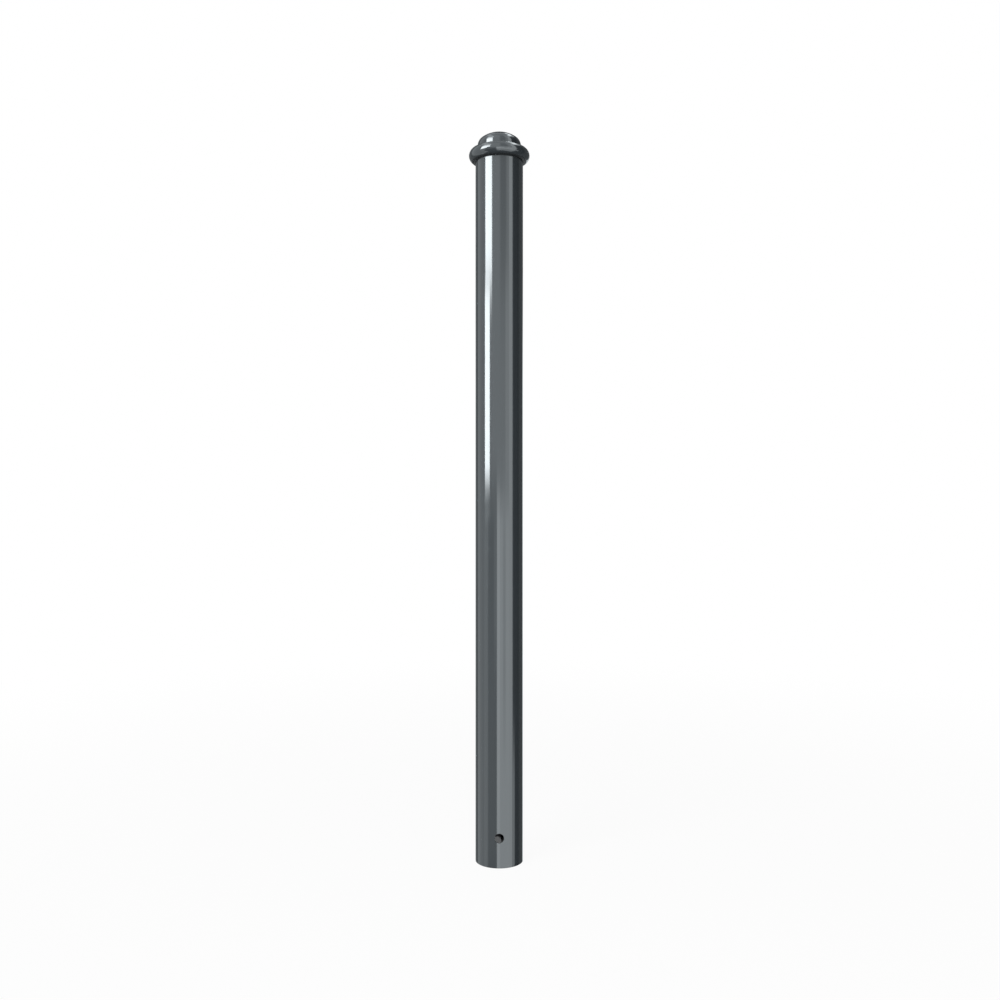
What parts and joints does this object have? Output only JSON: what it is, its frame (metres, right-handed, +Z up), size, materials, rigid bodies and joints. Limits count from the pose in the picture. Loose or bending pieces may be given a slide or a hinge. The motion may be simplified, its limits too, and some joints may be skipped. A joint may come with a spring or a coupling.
{
  "type": "bollard",
  "caption": "Round steel street bollard: a slim tube with a rolled-bar collar, a domed cap and an anchor-bar hole near its foot.",
  "frame": {"origin": "centre of the tube's foot face, the end that stands in the footing", "axes": "+Z up along the post's axis; the anchor-bar hole runs along Y, and -Y is the side it is seen from"},
  "size_m": [0.097, 0.097, 1.1657],
  "materials": {
    "painted_steel": "gloss"
  },
  "bodies": {
    "root": {"post_tube": "painted_steel", "collar_ring": "painted_steel", "dome_cap": "painted_steel"}
  },
  "joints": []
}
